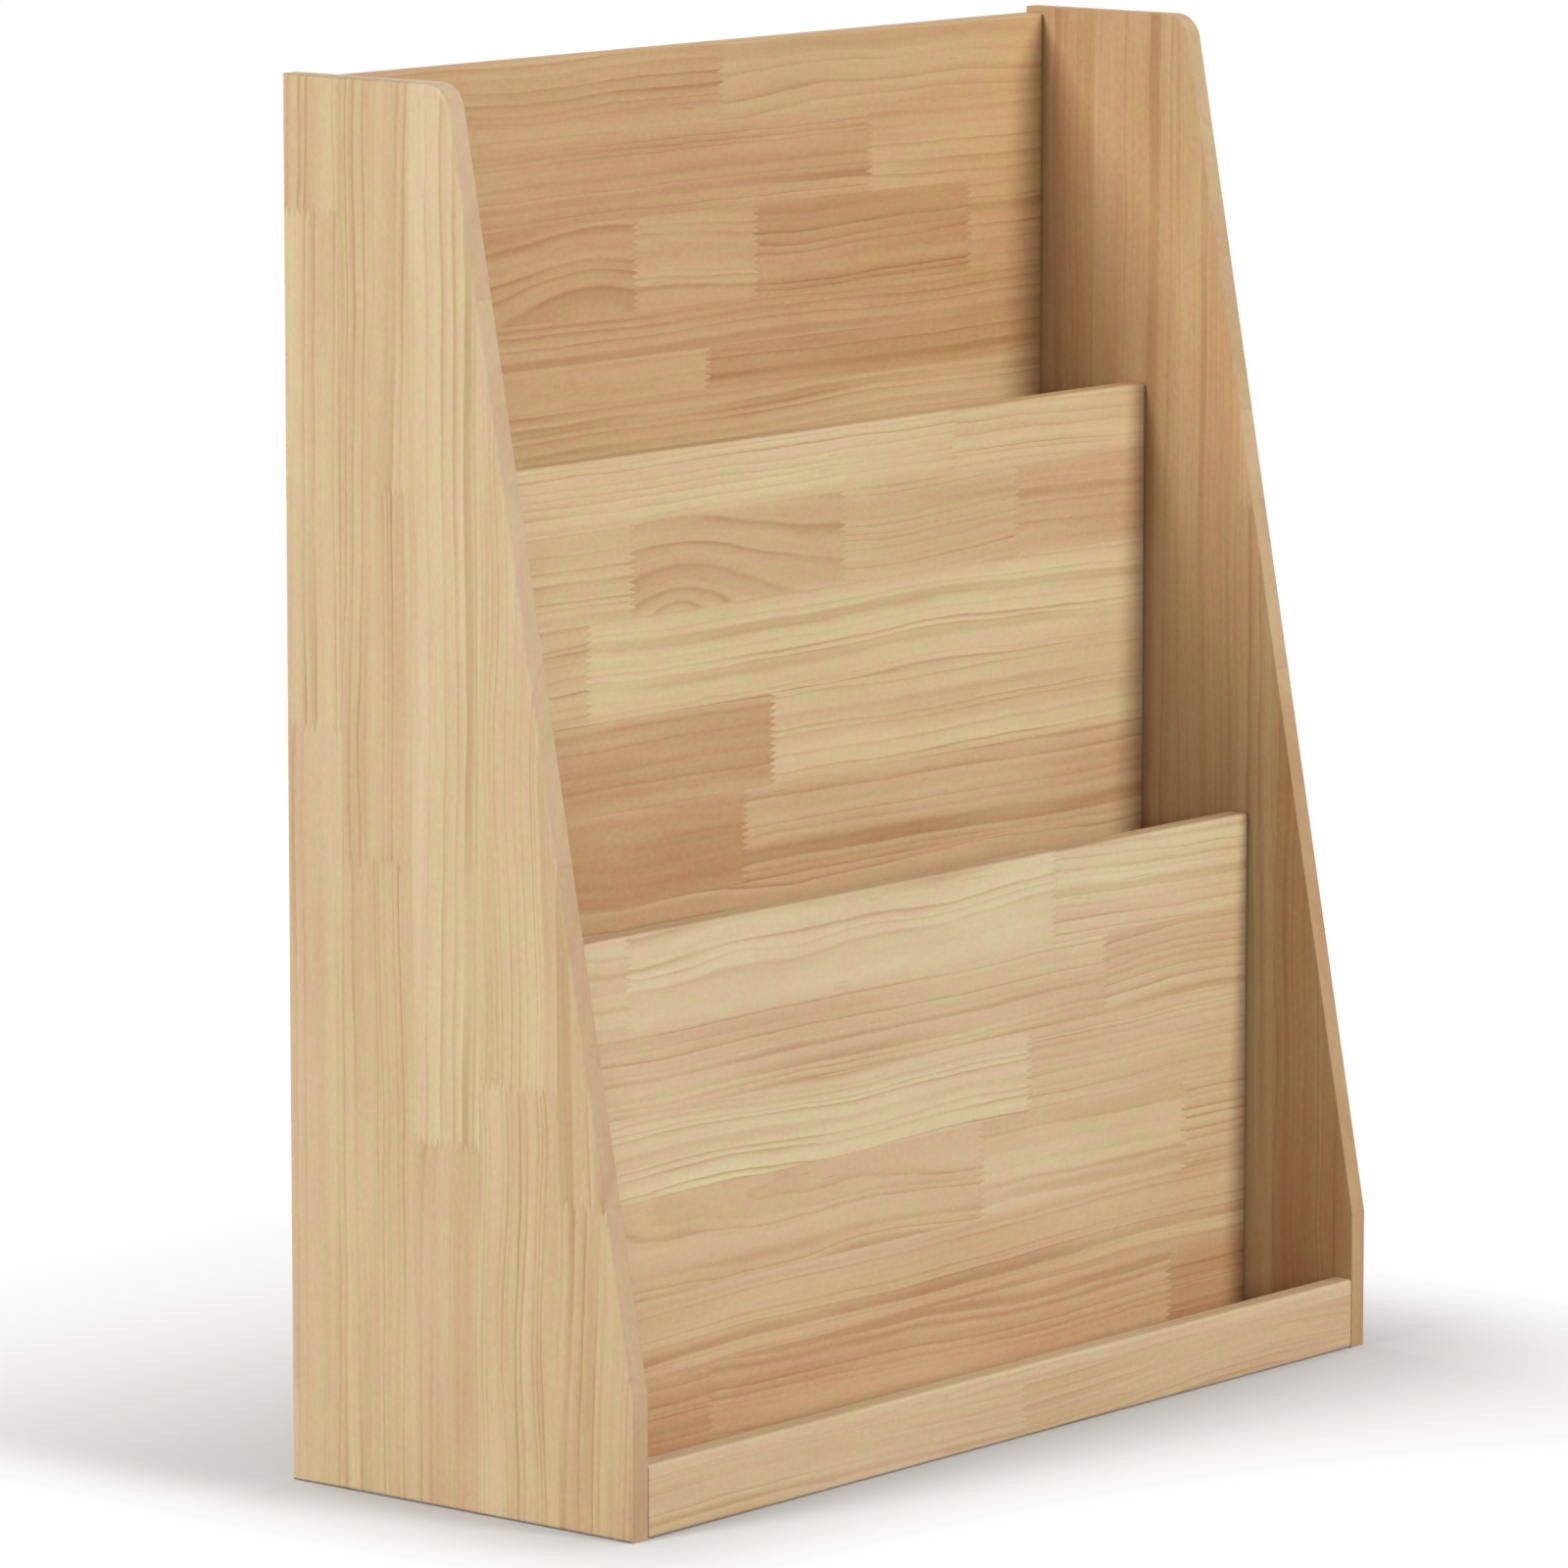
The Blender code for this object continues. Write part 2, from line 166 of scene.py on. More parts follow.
class BookcaseBoards(bpy.types.PropertyGroup):
    """Shape of the boards and of the staves that they are glued from."""

    edge_round: metres("Edge round", "Radius along the edges of every board", 0.002)
    meeting_round: metres("Meeting round", "Radius where the front lip meets the sides", 0.0005)
    toe_height: metres("Toe height", "Upright part of a side's front edge", 0.072)
    top_depth: metres("Top depth", "Depth of a side at its top, before its corner is rounded", 0.106)
    corner_radius: metres("Corner radius", "Round at the top front corner of a side", 0.014)
    stave_width: metres("Stave width", "Usual width of a stave", 0.046)
    block_length: metres("Block length", "Usual length of a block of wood in a stave", 0.300)


class BookcasePine(bpy.types.PropertyGroup):
    """Colours and grain of the pine."""

    pale: swatch("Pale", "Palest sapwood", shade(215, 193, 157))
    middling: swatch("Middling", "Wood between the two ends", shade(204, 173, 137))
    dark: swatch("Dark", "Darkest heartwood", shade(190, 151, 113))
    line: swatch("Line", "Tint of the late wood in a year ring", shade(206, 179, 149))
    rosy: swatch("Rosy", "Tint of the rosy patches", shade(255, 247, 249))
    sallow: swatch("Sallow", "Tint of the sallow patches", shade(251, 255, 244))
    # Edge tints: partly a greyer colour of the cut edges, partly painted shade on the boards' tops
    edge: swatch("Edge", "Tint of the boards' narrow edges", shade(244, 238, 241))
    divider_edge_and_shade: swatch("Divider edge", "Tint of the dividers' narrow edges", shade(252, 243, 238))
    back_edge_and_shade: swatch("Back edge", "Tint of the back panel's narrow edges", shade(230, 233, 241))
    right_lines: fraction("Right lines", "Depth of the ring lines on the right side", 0.7)
    ring_width: metres("Ring width", "Usual width of a year ring", 0.0065)
    tooth_pitch: metres("Tooth pitch", "Distance between the teeth of a finger joint", 0.0036)
    tooth_length: metres("Tooth length", "How far the teeth of a finger joint reach", 0.0060)
    blend: metres("Blend", "How far the tones of two staves run into each other", 0.0070)
    roughness: fraction("Roughness", "Roughness of the matt clear finish", 0.5)


class BookcaseMetal(bpy.types.PropertyGroup):
    """Colours of the joint fittings."""

    zinc: swatch("Zinc", "Die-cast cam locks", shade(176, 178, 182))
    steel: swatch("Steel", "Plated bolts", shade(190, 190, 188))
    beech: swatch("Beech", "Wooden dowels", shade(206, 172, 132))


class BookcaseStage(bpy.types.PropertyGroup):
    """Floor, lamps and camera."""

    floor: swatch("Floor", "Colour of the studio floor", (0.72, 0.72, 0.72))
    floor_bounce: swatch("Floor bounce", "Floor's colour for the light it returns", (0.2, 0.2, 0.2))
    floor_glow: fraction("Floor glow", "Light that the floor adds towards the camera", 0.08)
    floor_contact: fraction("Floor contact", "Depth of the shade close to the bookcase", 0.48)
    sky: fraction("Sky", "Strength of the even light from all round", 0.12)
    left_lamp: lamplight("Left lamp", "Light of the lamp on the left", 0.804)
    front_lamp: lamplight("Front lamp", "Light of the lamp in front", 0.704)
    fill_lamp: lamplight("Fill lamp", "Light of the weak lamp beside the camera", 0.18)
    top_lamp: lamplight("Top lamp", "Light of the lamp overhead", 0.15)
    right_lamp: lamplight("Right lamp", "Light of the weak lamp on the right", 0.35)
    back_lamp: lamplight("Back lamp", "Light of the weak lamp behind", 0.5)
    azimuth: angle("Azimuth", "Camera's turn round the bookcase", math.radians(-50.541))
    elevation: angle("Elevation", "Camera's height above the horizon", math.radians(8.719))
    distance: metres("Distance", "From the camera to the point it looks at", 4.876)
    lens: millimetres("Lens", "Focal length in millimetres", 221.7)
    target: point("Target", "Point that the camera looks at", (-0.0498, 0.0, 0.3312))


class BookcaseSettings(bpy.types.PropertyGroup):
    """All sizes and colours of the bookcase's looks."""

    boards: bpy.props.PointerProperty(type=BookcaseBoards)
    pine: bpy.props.PointerProperty(type=BookcasePine)
    metal: bpy.props.PointerProperty(type=BookcaseMetal)
    stage: bpy.props.PointerProperty(type=BookcaseStage)


def settings():
    """The bookcase's settings in this scene."""
    return bpy.context.scene.bookcase


# Axes of a board's grain as along, across and through, with the upper or rear stave first
UPRIGHT_GRAIN = (0, 2, 1)
LEVEL_GRAIN = (0, 1, 2)
SIDE_GRAIN = (2, 1, 0)

EDGE_SEGMENTS = 4
CORNER_SEGMENTS = 16
POCKET_SIDES = 64
SHARP_ANGLE = math.radians(40)


def round_off(shape, geometry, radius, segments=EDGE_SEGMENTS, affect="EDGES"):
    """Rounds edges or corners of a board."""
    bmesh.ops.bevel(
        shape,
        geom=geometry,
        offset=radius,
        offset_type="OFFSET",
        segments=segments,
        profile=0.5,
        affect=affect,
        material=-1,
    )


def block_shape(low, high):
    """A square-edged block between two corners."""
    shape = bmesh.new()
    bmesh.ops.create_cube(shape, size=1.0)
    bmesh.ops.scale(shape, verts=shape.verts[:], vec=high - low)
    bmesh.ops.translate(shape, verts=shape.verts[:], vec=(low + high) / 2)
    return shape


def straight_board(low, high):
    """A board between two corners with all its edges rounded."""
    shape = block_shape(low, high)
    round_off(shape, shape.edges[:], settings().boards.edge_round)
    return shape


def lip_board(low, high):
    """A board with round long edges and nearly square ends, for the front lip."""
    sizes = settings().boards
    shape = block_shape(low, high)
    long_edges = [edge for edge in shape.edges if edge.verts[0].co.x != edge.verts[1].co.x]
    round_off(shape, long_edges, sizes.edge_round)
    rims = [edge for edge in shape.edges if abs(edge.verts[0].co.x - edge.verts[1].co.x) < sizes.edge_round]
    round_off(shape, rims, sizes.meeting_round)
    return shape


def side_board(low, high):
    """A side with its slanted front edge, short upright toe and round top front corner."""
    sizes = settings().boards
    top_front = high.y - sizes.top_depth
    outline = (
        (high.y, low.z),
        (low.y, low.z),
        (low.y, sizes.toe_height),
        (top_front, high.z),
        (high.y, high.z),
    )
    shape = bmesh.new()
    corners = [shape.verts.new((low.x, y, z)) for y, z in outline]
    shape.faces.new(corners)
    slant = math.atan2(top_front - low.y, high.z - sizes.toe_height)
    corner = sizes.corner_radius / math.tan((math.pi / 2 + slant) / 2)
    round_off(shape, [corners[3]], corner, CORNER_SEGMENTS, "VERTICES")
    grown = bmesh.ops.extrude_face_region(shape, geom=shape.faces[:], use_keep_orig=True)
    moved = [item for item in grown["geom"] if isinstance(item, bmesh.types.BMVert)]
    bmesh.ops.translate(shape, verts=moved, vec=(high.x - low.x, 0, 0))
    bmesh.ops.recalc_face_normals(shape, faces=shape.faces[:])
    inner, outer = sorted((low.x, high.x), key=abs)
    for place, radius in ((outer, sizes.edge_round), (inner, sizes.meeting_round)):
        rim = [
            edge for edge in shape.edges
            if all(abs(vertex.co.x - place) < sizes.meeting_round / 2 for vertex in edge.verts)
        ]
        round_off(shape, rim, radius)
    return shape


def rod_along_y(shape, centre, radius, front, back):
    """Adds a closed rod along Y to a shape."""
    middle = Matrix.Translation((centre.x, (front + back) / 2, centre.z))
    bmesh.ops.create_cone(
        shape,
        cap_ends=True,
        segments=POCKET_SIDES,
        radius1=radius,
        radius2=radius,
        depth=back - front,
        matrix=middle @ Matrix.Rotation(math.pi / 2, 4, "X"),
    )


def placed(name, data):
    """A new object in the scene."""
    item = bpy.data.objects.new(name, data)
    bpy.context.scene.collection.objects.link(item)
    return item


def shaped(name, shape):
    """A new object in the scene from a finished shape, which is used up."""
    mesh = bpy.data.meshes.new(name)
    shape.to_mesh(mesh)
    shape.free()
    return placed(name, mesh)


def sink_cams(shape, node, high):
    """Cuts a round pocket into a board's rear face for each of its cam locks."""
    cams = [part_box(name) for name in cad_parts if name.startswith(f"{node}_cam_")]
    if not cams:
        return shape
    rods = bmesh.new()
    for cam_low, cam_high in cams:
        gap = high.y - cam_high.y
        radius = (cam_high.z - cam_low.z) / 2 + gap
        rod_along_y(rods, (cam_low + cam_high) / 2, radius, cam_low.y - gap, high.y + radius)
    board = shaped("board_blank", shape)
    cutter = shaped("pocket_cutter", rods)
    pockets = board.modifiers.new("cam_pockets", "BOOLEAN")
    pockets.operation = "DIFFERENCE"
    pockets.solver = "EXACT"
    pockets.object = cutter
    bpy.context.view_layer.update()
    graph = bpy.context.evaluated_depsgraph_get()
    mesh = bpy.data.meshes.new_from_object(board.evaluated_get(graph))
    cut_shape = bmesh.new()
    cut_shape.from_mesh(mesh)
    blanks = [board.data, cutter.data, mesh]
    for blank in (board, cutter):
        bpy.data.objects.remove(blank)
    for blank in blanks:
        bpy.data.meshes.remove(blank)
    return cut_shape


def drawn_blocks(chance, length):
    """Blocks of a stave that no layup lists, and joints at lengths drawn by chance."""
    usual = settings().boards.block_length
    blocks = []
    joints = []
    end = usual * chance.uniform(*FIRST_BLOCKS)
    while end < length - usual / 4 and len(joints) < MOST_JOINTS:
        blocks.append((chance.choice(COMMON_TONES), chance.choice(list(FIGURES))))
        joints.append(end)
        end += usual * chance.uniform(*LATER_BLOCKS)
    blocks.append((chance.choice(COMMON_TONES), chance.choice(list(FIGURES))))
    return blocks, joints


def staves_of(name, across_low, across_high, along_low, along_high):
    """A board's staves as (lower edge, upper edge, seed, joints, tones, figures)."""
    chance = random.Random(name)
    usual = settings().boards.stave_width
    listed = list(LAYUPS.get(name, ()))
    staves = []
    upper = across_high
    while upper > across_low + usual / 10:
        if listed:
            width, *parts = listed.pop(0)
            blocks = [(words.split() + ["straight"])[:2] for words in parts[::2]]
            joints = parts[1::2]
        else:
            width = usual * chance.uniform(*STAVE_WIDTHS)
            blocks, joints = drawn_blocks(chance, along_high - along_low)
        lower = max(across_low, upper - width)
        if lower - across_low < usual / 4:
            lower = across_low
        missing = MOST_JOINTS - len(joints)
        joints = [along_low + joint for joint in joints] + [NO_JOINT] * missing
        blocks += [blocks[-1]] * missing
        tones = [TONES[tone] for tone, _ in blocks]
        figures = [FIGURES[figure] for _, figure in blocks]
        staves.append((lower, upper, chance.uniform(0, 100), joints, tones, figures))
        upper = lower
    return staves


# What each face of a board tells its material
FACE_LAYERS = ("stave", "joints", "tones", "figures", "beside", "cut")


def glue_staves(shape, name, low, high, grain):
    """Cuts a board's faces along its glue lines, and notes each face's stave and place in the grain."""
    along, across, through = grain
    staves = staves_of(name, low[across], high[across], low[along], high[along])
    normal = Vector((0, 0, 0))
    normal[across] = 1
    for lower, *_ in staves[:-1]:
        everything = shape.verts[:] + shape.edges[:] + shape.faces[:]
        bmesh.ops.bisect_plane(shape, geom=everything, plane_co=normal * lower, plane_no=normal)
    shape.normal_update()
    kinds = shape.faces.layers
    layers = [
        (kinds.float_color if label in ("tones", "figures") else kinds.float_vector).new(label)
        for label in FACE_LAYERS
    ]
    means = [sum(tones) / len(tones) for *_, tones, _ in staves]
    for face in shape.faces:
        place = face.calc_center_median()[across]
        index = next((index for index, stave in enumerate(staves) if place >= stave[0]), len(staves) - 1)
        lower, upper, seed, joints, tones, figures = staves[index]
        above = means[max(index - 1, 0)]
        below = means[min(index + 1, len(staves) - 1)]
        cut = (abs(face.normal[along]), 1 - abs(face.normal[through]), 0)
        values = ((lower, upper, seed), joints, tones, figures, (above, below, 0), cut)
        for layer, value in zip(layers, values):
            face[layer] = value
    grain_layer = shape.verts.layers.float_vector.new("grain")
    middle = (low[through] + high[through]) / 2
    for vertex in shape.verts:
        vertex[grain_layer] = (vertex.co[along], vertex.co[across], vertex.co[through] - middle)


def finished_piece(name, shape, material, node):
    """Makes a piece from its shape, gives it its material and lets it stand for a CAD node."""
    for face in shape.faces:
        face.smooth = True
    for edge in shape.edges:
        edge.smooth = edge.calc_face_angle(0.0) < SHARP_ANGLE
    piece = shaped(name, shape)
    piece.data.materials.append(material)
    even = piece.modifiers.new("even_normals", "WEIGHTED_NORMAL")
    even.keep_sharp = True
    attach(piece, "root")
    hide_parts(node)
    return piece


def make_board(node, build, grain, pine):
    """Builds one pine board in the place of its CAD node."""
    low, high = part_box(node)
    shape = sink_cams(build(low, high), node, high)
    glue_staves(shape, node, low, high, grain)
    return finished_piece(f"{node}_pine", shape, pine_material(pine), node)


class Wiring:
    """Places nodes in a node tree and joins them, so that a formula reads in one line."""

    def __init__(self, tree):
        self.tree = tree

    def feed(self, socket, value):
        """Links a socket to another one, or sets it to a value, which for a colour has no alpha."""
        if isinstance(value, bpy.types.NodeSocket):
            self.tree.links.new(value, socket)
        else:
            socket.default_value = (*value, 1.0) if socket.type == "RGBA" else value

    def fill(self, sockets, values):
        """Feeds several sockets of a node, by their names or places."""
        for key, value in values.items():
            self.feed(sockets[key], value)

    def add(self, kind, inputs=(), **options):
        """A new node with some of its options set and its inputs fed."""
        node = self.tree.nodes.new(kind)
        for name, value in options.items():
            setattr(node, name, value)
        self.fill(node.inputs, dict(inputs))
        return node

    def math(self, operation, *values):
        """One step of arithmetic."""
        return self.add("ShaderNodeMath", enumerate(values), operation=operation).outputs[0]

    plus = functools.partialmethod(math, "ADD")
    less = functools.partialmethod(math, "SUBTRACT")
    times = functools.partialmethod(math, "MULTIPLY")
    over = functools.partialmethod(math, "DIVIDE")

    def raised(self, mask, base, amount):
        """A value with an amount added where a mask is 1."""
        return self.math("MULTIPLY_ADD", mask, amount, base)

    def swayed(self, noise, base, reach):
        """A value that noise moves up and down."""
        return self.raised(self.less(noise, 0.5), base, reach)

    def dimmed(self, mask, value, share):
        """A value with a share taken off where a mask is 1."""
        return self.times(value, self.raised(mask, 1.0, -share))

    def past(self, value, limit):
        """How far a value lies above a limit, or 0."""
        return self.math("MAXIMUM", self.less(value, limit), 0.0)

    def split(self, vector):
        """The three parts of a vector."""
        return self.add("ShaderNodeSeparateXYZ", {0: vector}).outputs[:]

    def vector(self, *parts):
        """A vector from its three parts."""
        return self.add("ShaderNodeCombineXYZ", enumerate(parts)).outputs[0]

    def between(self, factor, low, high):
        """A value between two others."""
        values = {0: factor, 2: low, 3: high}
        return self.add("ShaderNodeMix", values, data_type="FLOAT", clamp_factor=True).outputs[0]

    def colour(self, factor, first, second, blend="MIX"):
        """Two colours mixed or blended."""
        values = {0: factor, 6: first, 7: second}
        node = self.add("ShaderNodeMix", values, data_type="RGBA", blend_type=blend, clamp_factor=True)
        return node.outputs[2]

    def tinted(self, colour, tint):
        """A colour times a tint."""
        return self.colour(1.0, colour, tint, "MULTIPLY")

    def lit(self, colour, light):
        """A colour times a brightness."""
        return self.tinted(colour, self.vector(light, light, light))

    def rise(self, value, low, high):
        """A smooth step from 0 at one value to 1 at another."""
        values = {0: value, 1: low, 2: high}
        return self.add("ShaderNodeMapRange", values, interpolation_type="SMOOTHSTEP", clamp=True).outputs[0]

    def noise(self, place, scale, detail=2.0, roughness=0.5):
        """Even noise between about 0 and 1: over a vector, or over one value."""
        line = place.type == "VALUE"
        values = {"W" if line else "Vector": place, "Scale": scale, "Detail": detail, "Roughness": roughness}
        node = self.add("ShaderNodeTexNoise", values, noise_dimensions="1D" if line else "3D")
        return node.outputs[0]

    def cells(self, place, counts, detail=2.0, roughness=0.5):
        """Noise with its own number of cells in a metre along each axis."""
        scaled = self.add("ShaderNodeVectorMath", {0: place, 1: counts}, operation="MULTIPLY")
        return self.noise(scaled.outputs[0], 1.0, detail, roughness)

    def chance(self, seed):
        """One number and three numbers drawn by chance for a seed."""
        node = self.add("ShaderNodeTexWhiteNoise", {"W": seed}, noise_dimensions="1D")
        return node.outputs["Value"], node.outputs["Color"]

    def ramp(self, factor, stops):
        """A colour from a row of stops."""
        node = self.add("ShaderNodeValToRGB", {0: factor})
        elements = node.color_ramp.elements
        while len(elements) < len(stops):
            elements.new(0.5)
        for element, (place, colour) in zip(elements, stops):
            element.position = place
            element.color = (*colour, 1.0)
        return node.outputs[0]

    def bump(self, height, strength, distance):
        """A normal that follows a height."""
        values = {"Strength": strength, "Distance": distance, "Height": height}
        return self.add("ShaderNodeBump", values).outputs[0]

    def group(self, name, make, values):
        """The outputs of a node group, which is made the first time that it is asked for."""
        tree = bpy.data.node_groups.get(name) or make()
        return self.add("ShaderNodeGroup", values, node_tree=tree).outputs


def new_group(name, inputs, outputs):
    """A node group with inputs of several kinds and outputs that are values, and its wiring."""
    group = bpy.data.node_groups.new(name, "ShaderNodeTree")
    for kind, labels in inputs.items():
        for label in labels:
            group.interface.new_socket(label, in_out="INPUT", socket_type=f"NodeSocket{kind}")
    for label in outputs:
        group.interface.new_socket(label, in_out="OUTPUT", socket_type="NodeSocketFloat")
    w = Wiring(group)
    return group, w, w.add("NodeGroupInput").outputs, w.add("NodeGroupOutput").inputs


# Width of a glue line, how much narrower it is between two staves, and the steps between the seeds
# of a stave's blocks and between a block's own seeds
GLUE_LINE = 0.00045
STAVE_LINE_FACTOR = 1.6
BLOCK_SEED_STEP = 17.31
OWN_SEED_STEP = 3.7


def finger_joint_group():
    """Finds the block of a stave at a place: its tone, figure and seed, and the joint's thin line."""
    group, w, given, out = new_group(
        "finger_joints",
        {
            "Vector": ("Grain", "Stave", "Joints", "Beside"),
            "Color": ("Tones", "Figures"),
            "Float": ("Last tone", "Last figure", "Blend", "Tooth pitch", "Tooth length"),
        },
        ("Tone", "Figure", "Seed", "From middle", "From joint", "Glue line"),
    )
    along, across, _ = w.split(given["Grain"])
    low, high, seed = w.split(given["Stave"])
    tones = (*w.split(given["Tones"]), given["Last tone"])
    figures = (*w.split(given["Figures"]), given["Last figure"])
    joints = w.split(given["Joints"])
    above_low = w.less(across, low)
    below_high = w.less(high, across)
    half_pitch = w.times(given["Tooth pitch"], 0.5)
    tooth = w.less(w.over(w.math("PINGPONG", above_low, half_pitch), half_pitch), 0.5)
    reach = w.times(tooth, given["Tooth length"])
    steepness = w.over(given["Tooth length"], half_pitch)
    flank = w.math("SQRT", w.plus(w.times(steepness, steepness), 1.0))
    tone = tones[0]
    figure = figures[0]
    from_joint = w.less(along, joints[0])
    nearest = w.times(w.math("MINIMUM", above_low, below_high), STAVE_LINE_FACTOR)
    for index, joint in enumerate(joints):
        from_this = w.less(along, joint)
        past = w.less(from_this, reach)
        beyond = w.math("GREATER_THAN", past, 0.0)
        tone = w.between(beyond, tone, tones[index + 1])
        figure = w.between(beyond, figure, figures[index + 1])
        from_joint = w.between(beyond, from_joint, from_this)
        seed = w.raised(beyond, seed, BLOCK_SEED_STEP)
        nearest = w.math("MINIMUM", nearest, w.over(w.math("ABSOLUTE", past), flank))
    above, below, _ = w.split(given["Beside"])
    for rim, neighbour in ((below_high, above), (above_low, below)):
        own = w.rise(rim, w.times(given["Blend"], -1.0), given["Blend"])
        tone = w.between(w.less(1.0, own), tone, neighbour)
    w.fill(out, {
        "Tone": tone,
        "Figure": figure,
        "Seed": seed,
        "From middle": w.less(across, w.times(w.plus(low, high), 0.5)),
        "From joint": w.math("ABSOLUTE", from_joint),
        "Glue line": w.less(1.0, w.rise(nearest, 0.0, GLUE_LINE)),
    })
    return group


# Arches round a knot: the knot's place from the block's joint and from the middle of its stave,
# where the arches run out straight, their rise against their reach, their distance and strength
KNOT_FROM_JOINT = 0.035
KNOT_FROM_MIDDLE = 0.034
KNOT_REACH = 0.075
KNOT_ROUNDNESS = 0.46
KNOT_RING_WIDTH = 0.0115
KNOT_STRENGTH = 0.8

# The pith that the rings lie round, in straight and in fully figured wood: how far beside the stave
# it lies, its run through the board and across it, its bend, and the rings' ripple
PITH_BESIDE = (0.110, 0.004)
PITH_CLIMB = (0.008, 0.045)
PITH_STRAY = (0.025, 0.090)
PITH_BEND = (0.006, 0.026)
RING_RIPPLE = (0.003, 0.008)
RING_SHIVER = 0.0022

# How soon figure draws the pith near, its bends in a metre, its spread along and beside the stave,
# least and spread of its depth, its climb and the rings' width, and how uneven the rings are and
# how fast that changes from one to the next
PITH_PULL = 0.6
PITH_BENDS = 4.5
PITH_START = 0.5
PITH_SPREAD = 0.024
PITH_DEPTH = (0.010, 0.008)
CLIMB_SPREAD = (0.6, 0.8)
WIDTH_SPREAD = (0.7, 0.8)
RING_UNEVENNESS = 2.2
RING_CHANGE = 0.6

# A ring's late wood: power and depth of its thin line and of the broad rise to it, where it breaks
# off, least and spread of its strength, where it fades, least and spread of what is left, and its
# depth in plain and in knotty wood
LATE_PARTS = ((6.0, 0.95), (1.9, 0.55))
LINE_BREAK = (0.76, 1.0)
LINE_STRENGTH = (0.3, 1.0)
LINE_FADE = (0.25, 0.7)
LINE_LEFT = (0.35, 0.9)
LINE_DEPTHS = (0.82, 0.8)

# Cells in a metre along, across and through the grain for each kind of noise, or across the rings
# for streaks and threads, and how far apart the noise of two blocks lies for their seeds
RIPPLE_CELLS = (6, 45, 45)
SHIVER_CELLS = (26, 130, 130)
FADE_CELLS = (7, 60, 60)
STREAK_CELLS = (2.5, 90, 1)
THREAD_CELLS = (9, 480, 1)
CLOUD_CELLS = (6, 30, 30)
MOTTLE_CELLS = (280, 360, 360)
FIBRE_CELLS = (60, 1300, 1300)
FLECK_CELLS = (220, 1700, 1700)
BROAD_HUE_CELLS = (4, 80, 80)
FINE_HUE_CELLS = (60, 170, 170)
TICK_CELLS = (45, 620, 620)
TICK_AREA_CELLS = (9, 60, 60)
SEED_STRIDE = 1.7

# Where noise turns into flecks, ticks and the areas that have ticks, and the fine share of the hue
FLECK_RISE = (0.62, 0.78)
TICK_RISE = (0.70, 0.82)
TICK_AREA_RISE = (0.5, 0.65)
FINE_HUE_SHARE = 0.45


